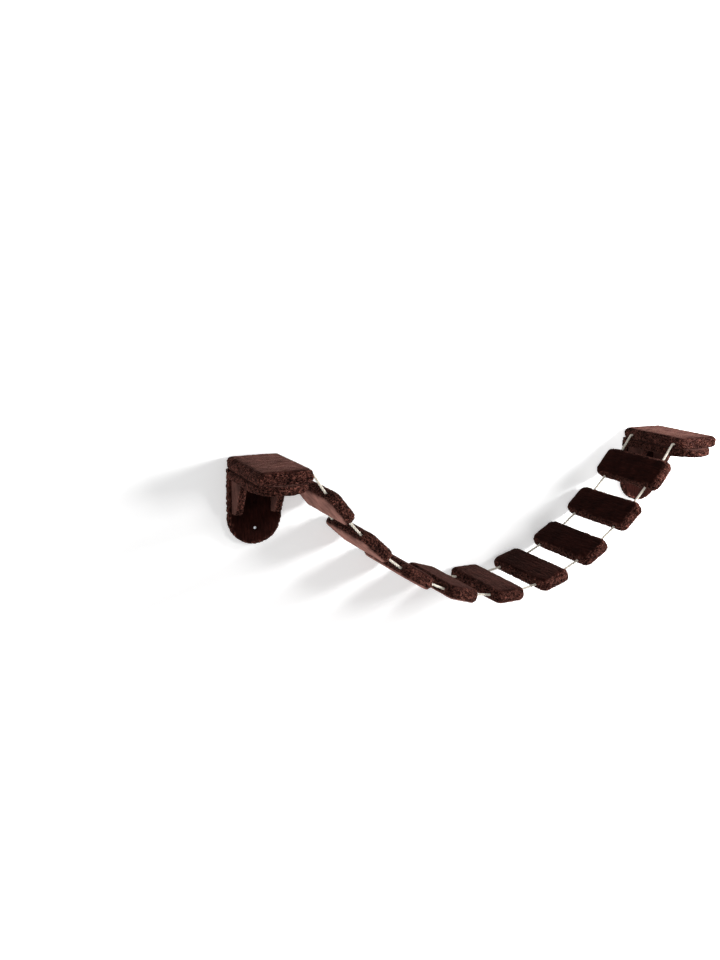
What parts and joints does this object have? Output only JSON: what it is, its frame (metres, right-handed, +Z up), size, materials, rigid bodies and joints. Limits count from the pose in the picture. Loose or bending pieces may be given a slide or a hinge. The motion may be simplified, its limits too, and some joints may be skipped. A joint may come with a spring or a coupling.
{
  "type": "wall-mounted plush rope bridge for cats",
  "caption": "Hanging cat bridge: plush-covered steps on ropes between plush-covered wall platforms.",
  "frame": {"origin": "midway between the two wall screws of the left platform, on the wall's face", "axes": "+X along the wall to the right platform, +Y into the wall, +Z up"},
  "size_m": [1.465, 0.303, 0.4205],
  "materials": {
    "chocolate_plush": "short pile plush",
    "board_wood": "raw board",
    "cotton_rope": "twisted cotton",
    "zinc_steel": "zinc plated"
  },
  "bodies": {
    "platforms": {"left_wall_screws": "zinc_steel", "left_joint_screws": "zinc_steel", "left_wall_board": "board_wood", "left_wall_cover": "chocolate_plush", "left_shelf_board": "board_wood", "left_shelf_cover": "chocolate_plush", "left_gussets": "board_wood", "left_gusset_covers": "chocolate_plush", "left_top_board": "board_wood", "left_top_cover": "chocolate_plush", "left_rope_ends": "cotton_rope", "right_wall_screws": "zinc_steel", "right_joint_screws": "zinc_steel", "right_wall_board": "board_wood", "right_wall_cover": "chocolate_plush", "right_shelf_board": "board_wood", "right_shelf_cover": "chocolate_plush", "right_gussets": "board_wood", "right_gusset_covers": "chocolate_plush", "right_top_board": "board_wood", "right_top_cover": "chocolate_plush", "right_rope_ends": "cotton_rope"},
    "step_1": {"step_1_board": "board_wood", "step_1_cover": "chocolate_plush", "step_1_ropes": "cotton_rope"},
    "step_2": {"step_2_board": "board_wood", "step_2_cover": "chocolate_plush", "step_2_ropes": "cotton_rope"},
    "step_3": {"step_3_board": "board_wood", "step_3_cover": "chocolate_plush", "step_3_ropes": "cotton_rope"},
    "step_4": {"step_4_board": "board_wood", "step_4_cover": "chocolate_plush", "step_4_ropes": "cotton_rope"},
    "step_5": {"step_5_board": "board_wood", "step_5_cover": "chocolate_plush", "step_5_ropes": "cotton_rope"},
    "step_6": {"step_6_board": "board_wood", "step_6_cover": "chocolate_plush", "step_6_ropes": "cotton_rope"},
    "step_7": {"step_7_board": "board_wood", "step_7_cover": "chocolate_plush", "step_7_ropes": "cotton_rope"},
    "step_8": {"step_8_board": "board_wood", "step_8_cover": "chocolate_plush", "step_8_ropes": "cotton_rope"},
    "step_9": {"step_9_board": "board_wood", "step_9_cover": "chocolate_plush", "step_9_ropes": "cotton_rope"},
    "span_1": {"span_1_ropes": "cotton_rope"},
    "span_2": {"span_2_ropes": "cotton_rope"},
    "span_3": {"span_3_ropes": "cotton_rope"},
    "span_4": {"span_4_ropes": "cotton_rope"},
    "span_5": {"span_5_ropes": "cotton_rope"},
    "span_6": {"span_6_ropes": "cotton_rope"},
    "span_7": {"span_7_ropes": "cotton_rope"},
    "span_8": {"span_8_ropes": "cotton_rope"},
    "span_9": {"span_9_ropes": "cotton_rope"},
    "span_10": {"span_10_ropes": "cotton_rope"}
  },
  "joints": [
    {"name": "bridge_wave", "type": "hinge", "parent": "platforms", "child": "span_1", "pos_m": [0.08078, -0.1355, 0.13745], "axis": [0, 1, 0], "range_deg": [-8, 8], "stiffness_Nm_per_rad": 6, "springref_deg": -54.69},
    {"name": "bridge_sway", "type": "slide", "parent": "span_1", "child": "step_1", "axis": [0, -1, 0], "range_m": [0, 0.0176], "stiffness_N_per_m": 2000},
    {"name": "flex_2", "type": "hinge", "parent": "step_1", "child": "span_2", "pos_m": [0.17358, -0.1355, 0.01501], "axis": [0, 1, 0], "range_deg": [-2.25, 2.25], "stiffness_Nm_per_rad": 3, "springref_deg": -78.16},
    {"name": "sway_2", "type": "slide", "parent": "span_2", "child": "step_2", "axis": [0, -1, 0], "range_m": [-0.0001, 0.02394]},
    {"name": "flex_3", "type": "hinge", "parent": "step_2", "child": "span_3", "pos_m": [0.28262, -0.1355, -0.09331], "axis": [0, 1, 0], "range_deg": [-4.7, 4.7], "stiffness_Nm_per_rad": 3, "springref_deg": -49.32},
    {"name": "sway_3", "type": "slide", "parent": "span_3", "child": "step_3", "axis": [0, -1, 0], "range_m": [-0.0001, 0.01993]},
    {"name": "flex_4", "type": "hinge", "parent": "step_3", "child": "span_4", "pos_m": [0.40967, -0.1355, -0.17982], "axis": [0, 1, 0], "range_deg": [-5.78, 5.78], "stiffness_Nm_per_rad": 3, "springref_deg": -24.87},
    {"name": "sway_4", "type": "slide", "parent": "span_4", "child": "step_4", "axis": [0, -1, 0], "range_m": [-0.0001, 0.01369]},
    {"name": "flex_5", "type": "hinge", "parent": "step_4", "child": "span_5", "pos_m": [0.55393, -0.1355, -0.23295], "axis": [0, 1, 0], "range_deg": [-3.41, 3.41], "stiffness_Nm_per_rad": 3, "springref_deg": -7.49},
    {"name": "sway_5", "type": "slide", "parent": "span_5", "child": "step_5", "axis": [0, -1, 0], "range_m": [-0.0001, 0.00496]},
    {"name": "flex_6", "type": "hinge", "parent": "step_5", "child": "span_6", "pos_m": [0.7075, -0.1355, -0.2415], "axis": [0, 1, 0], "range_deg": [-0.6, 0.6]},
    {"name": "flex_10", "type": "hinge", "parent": "platforms", "child": "span_10", "pos_m": [1.23422, -0.1355, 0.13745], "axis": [0, 1, 0], "range_deg": [-8, 8], "stiffness_Nm_per_rad": 6, "springref_deg": 33.83},
    {"name": "sway_9", "type": "slide", "parent": "span_10", "child": "step_9", "axis": [0, -1, 0], "range_m": [-0.0001, 0.01764]},
    {"name": "flex_9", "type": "hinge", "parent": "step_9", "child": "span_9", "pos_m": [1.14142, -0.1355, 0.01501], "axis": [0, 1, 0], "range_deg": [-2.25, 2.25], "stiffness_Nm_per_rad": 3, "springref_deg": 43.15},
    {"name": "sway_8", "type": "slide", "parent": "span_9", "child": "step_8", "axis": [0, -1, 0], "range_m": [-0.0001, 0.02394]},
    {"name": "flex_8", "type": "hinge", "parent": "step_8", "child": "span_8", "pos_m": [1.03238, -0.1355, -0.09331], "axis": [0, 1, 0], "range_deg": [-4.7, 4.7], "stiffness_Nm_per_rad": 3, "springref_deg": 22.2},
    {"name": "sway_7", "type": "slide", "parent": "span_8", "child": "step_7", "axis": [0, -1, 0], "range_m": [-0.0001, 0.01993]},
    {"name": "flex_7", "type": "hinge", "parent": "step_7", "child": "span_7", "pos_m": [0.90533, -0.1355, -0.17982], "axis": [0, 1, 0], "range_deg": [-5.77, 5.77], "stiffness_Nm_per_rad": 3, "springref_deg": 6.95},
    {"name": "sway_6", "type": "slide", "parent": "span_7", "child": "step_6", "axis": [0, -1, 0], "range_m": [-0.0001, 0.01866]}
  ],
  "couplings": [
    {"joint": "flex_2", "follows": "bridge_wave", "ratio": -0.28087},
    {"joint": "sway_2", "follows": "bridge_sway", "ratio": 1.357},
    {"joint": "flex_3", "follows": "bridge_wave", "ratio": -0.58612},
    {"joint": "sway_3", "follows": "bridge_sway", "ratio": 1.1296},
    {"joint": "flex_4", "follows": "bridge_wave", "ratio": -0.72087},
    {"joint": "sway_4", "follows": "bridge_sway", "ratio": 0.77614},
    {"joint": "flex_5", "follows": "bridge_wave", "ratio": -0.42552},
    {"joint": "sway_5", "follows": "bridge_sway", "ratio": 0.28138},
    {"joint": "flex_6", "follows": "bridge_wave", "ratio": 0.074674},
    {"joint": "flex_10", "follows": "bridge_wave", "ratio": 0.99789},
    {"joint": "sway_9", "follows": "bridge_sway", "ratio": 1},
    {"joint": "flex_9", "follows": "bridge_wave", "ratio": -0.28062},
    {"joint": "sway_8", "follows": "bridge_sway", "ratio": 1.357},
    {"joint": "flex_8", "follows": "bridge_wave", "ratio": -0.58574},
    {"joint": "sway_7", "follows": "bridge_sway", "ratio": 1.1296},
    {"joint": "flex_7", "follows": "bridge_wave", "ratio": -0.72029},
    {"joint": "sway_6", "follows": "bridge_sway", "ratio": 1.0575}
  ]
}
